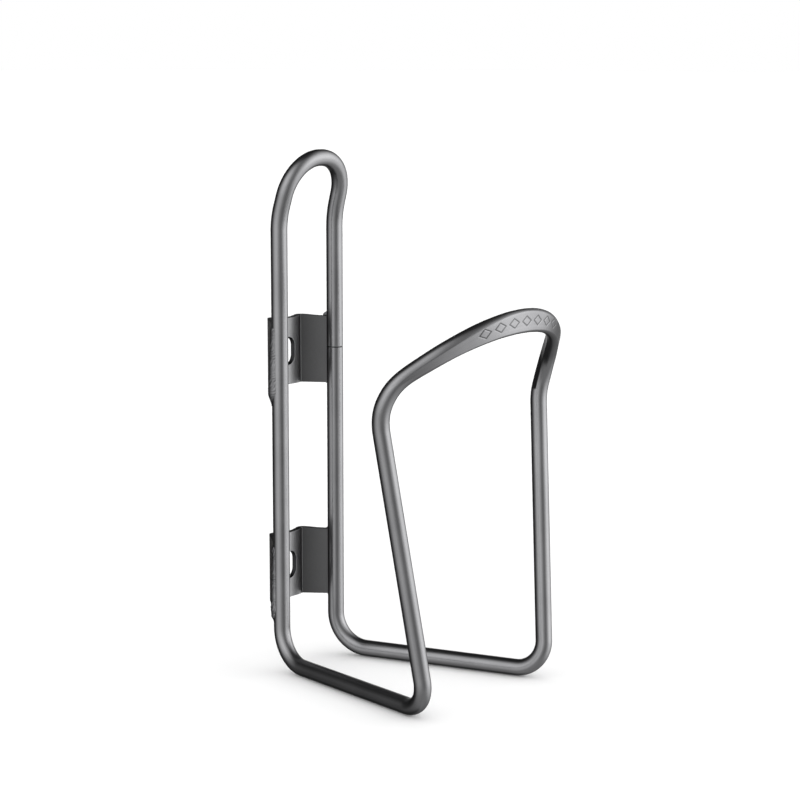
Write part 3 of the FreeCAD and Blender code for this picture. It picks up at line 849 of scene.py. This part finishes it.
studio = {
    "floor": {"Base Color": (0.9, 0.9, 0.9, 1), "Roughness": 0.9, "Specular IOR Level": 0.0},
    "floorHeight": -0.0599,
    "floorSize": 60,
    "surround": 1.0,           # past the floor
    "spread": 1.12,            # even light on the floor
    "front": (-0.777, -0.6295, 0),
    "dim": 0.04,               # between the boxes
    "boxes": [
        {"azimuth": -48, "wide": 35, "wideSoft": 28, "elevation": 20, "tall": 44, "tallSoft": 22,
         "strength": 1.5},
        {"azimuth": 98, "wide": 41, "wideSoft": 31, "elevation": 9, "tall": 34, "tallSoft": 32,
         "strength": 3.35},
        {"azimuth": -4, "wide": 41, "wideSoft": 41, "elevation": 26, "tall": 47, "tallSoft": 6,
         "strength": 0.58},
        {"azimuth": 41, "wide": 135, "wideSoft": 45, "elevation": -90, "tall": 66, "tallSoft": 8,
         "strength": 0.62},
        {"azimuth": 180, "wide": 18, "wideSoft": 12, "elevation": 0, "tall": 17, "tallSoft": 13,
         "strength": 1.1},
        {"azimuth": -30, "wide": 30, "wideSoft": 20, "elevation": 25, "tall": 20, "tallSoft": 12,
         "strength": 0.45},
    ],
}


def makeStudio():
    bpy.ops.object.select_all(action="DESELECT")
    bpy.ops.mesh.primitive_plane_add(size=studio["floorSize"],
                                     location=(0, 0, studio["floorHeight"]))
    floor = startPiece("floor")
    floor.visible_glossy = False
    material = bpy.data.materials.new("paleFloor")
    material.use_nodes = True
    shader = material.node_tree.nodes["Principled BSDF"]
    for socket, value in studio["floor"].items():
        shader.inputs[socket].default_value = value
    paint(floor, material)

    world = bpy.data.worlds.new("studio")
    bpy.context.scene.world = world
    world.use_nodes = True
    tree = world.node_tree
    tree.nodes.clear()
    link = tree.links.new
    output = addNode(tree, "ShaderNodeOutputWorld")
    light = addNode(tree, "ShaderNodeBackground", {"Color": (1, 1, 1, 1)})
    link(light.outputs["Background"], output.inputs["Surface"])
    where = addNode(tree, "ShaderNodeTexCoord")

    def maths(operation, *values):
        node = addNode(tree, "ShaderNodeMath", operation=operation)
        for socket, value in zip(node.inputs, values):
            if isinstance(value, (int, float)):
                socket.default_value = value
            else:
                link(value, socket)
        return node.outputs[0]

    def along(direction):
        dot = addNode(tree, "ShaderNodeVectorMath", {1: direction}, operation="DOT_PRODUCT")
        link(where.outputs["Generated"], dot.inputs[0])
        return dot.outputs["Value"]

    front = Vector(studio["front"]).normalized()
    toFront, toRight = along(front), along(Vector((0, 0, 1)).cross(front))
    height = maths("ARCSINE", along((0, 0, 1)))

    def edge(away, half, soft):
        # 1 inside, 0 outside, with a soft edge
        ramp = addNode(tree, "ShaderNodeMapRange", {
            "From Min": math.radians(half - soft), "From Max": math.radians(half + soft),
            "To Min": 1, "To Max": 0}, interpolation_type="SMOOTHSTEP")
        link(away, ramp.inputs["Value"])
        return ramp.outputs["Result"]

    total = studio["dim"]
    for box in studio["boxes"]:
        turn = math.radians(box["azimuth"])
        ahead = maths("ADD", maths("MULTIPLY", toFront, math.cos(turn)),
                      maths("MULTIPLY", toRight, math.sin(turn)))
        aside = maths("SUBTRACT", maths("MULTIPLY", toRight, math.cos(turn)),
                      maths("MULTIPLY", toFront, math.sin(turn)))
        away = maths("ABSOLUTE", maths("ARCTAN2", aside, ahead))
        above = maths("ABSOLUTE", maths("SUBTRACT", height, math.radians(box["elevation"])))
        glow = maths("MULTIPLY", edge(away, box["wide"], box["wideSoft"]),
                     edge(above, box["tall"], box["tallSoft"]))
        total = maths("MULTIPLY_ADD", glow, box["strength"], total)
    ray = addNode(tree, "ShaderNodeLightPath")
    for fact, value in (("Is Diffuse Ray", "spread"), ("Is Camera Ray", "surround")):
        mix = addNode(tree, "ShaderNodeMix", {"B": studio[value]}, data_type="FLOAT")
        link(ray.outputs[fact], mix.inputs["Factor"])
        link(total, mix.inputs["A"])
        total = mix.outputs["Result"]
    link(total, light.inputs["Strength"])


makeStudio()

# long lens from the studio's front, a little above the part
cameraView = {"place": (-0.48464, -0.43579, 0.11629), "target": (-0.00018, -0.04338, 0.02171),
              "lens": 100.6, "sensor": 36, "clip": 0.01}
bpy.ops.object.select_all(action="DESELECT")
bpy.ops.object.camera_add(location=cameraView["place"])
camera = bpy.context.object
camera.rotation_euler = (Vector(cameraView["target"]) - camera.location).to_track_quat(
    "-Z", "Y").to_euler()
camera.data.lens = cameraView["lens"]
camera.data.sensor_width = cameraView["sensor"]
camera.data.clip_start = cameraView["clip"]
bpy.context.scene.camera = camera
bpy.context.scene.view_settings.view_transform = "Standard"
bpy.context.view_layer.update()
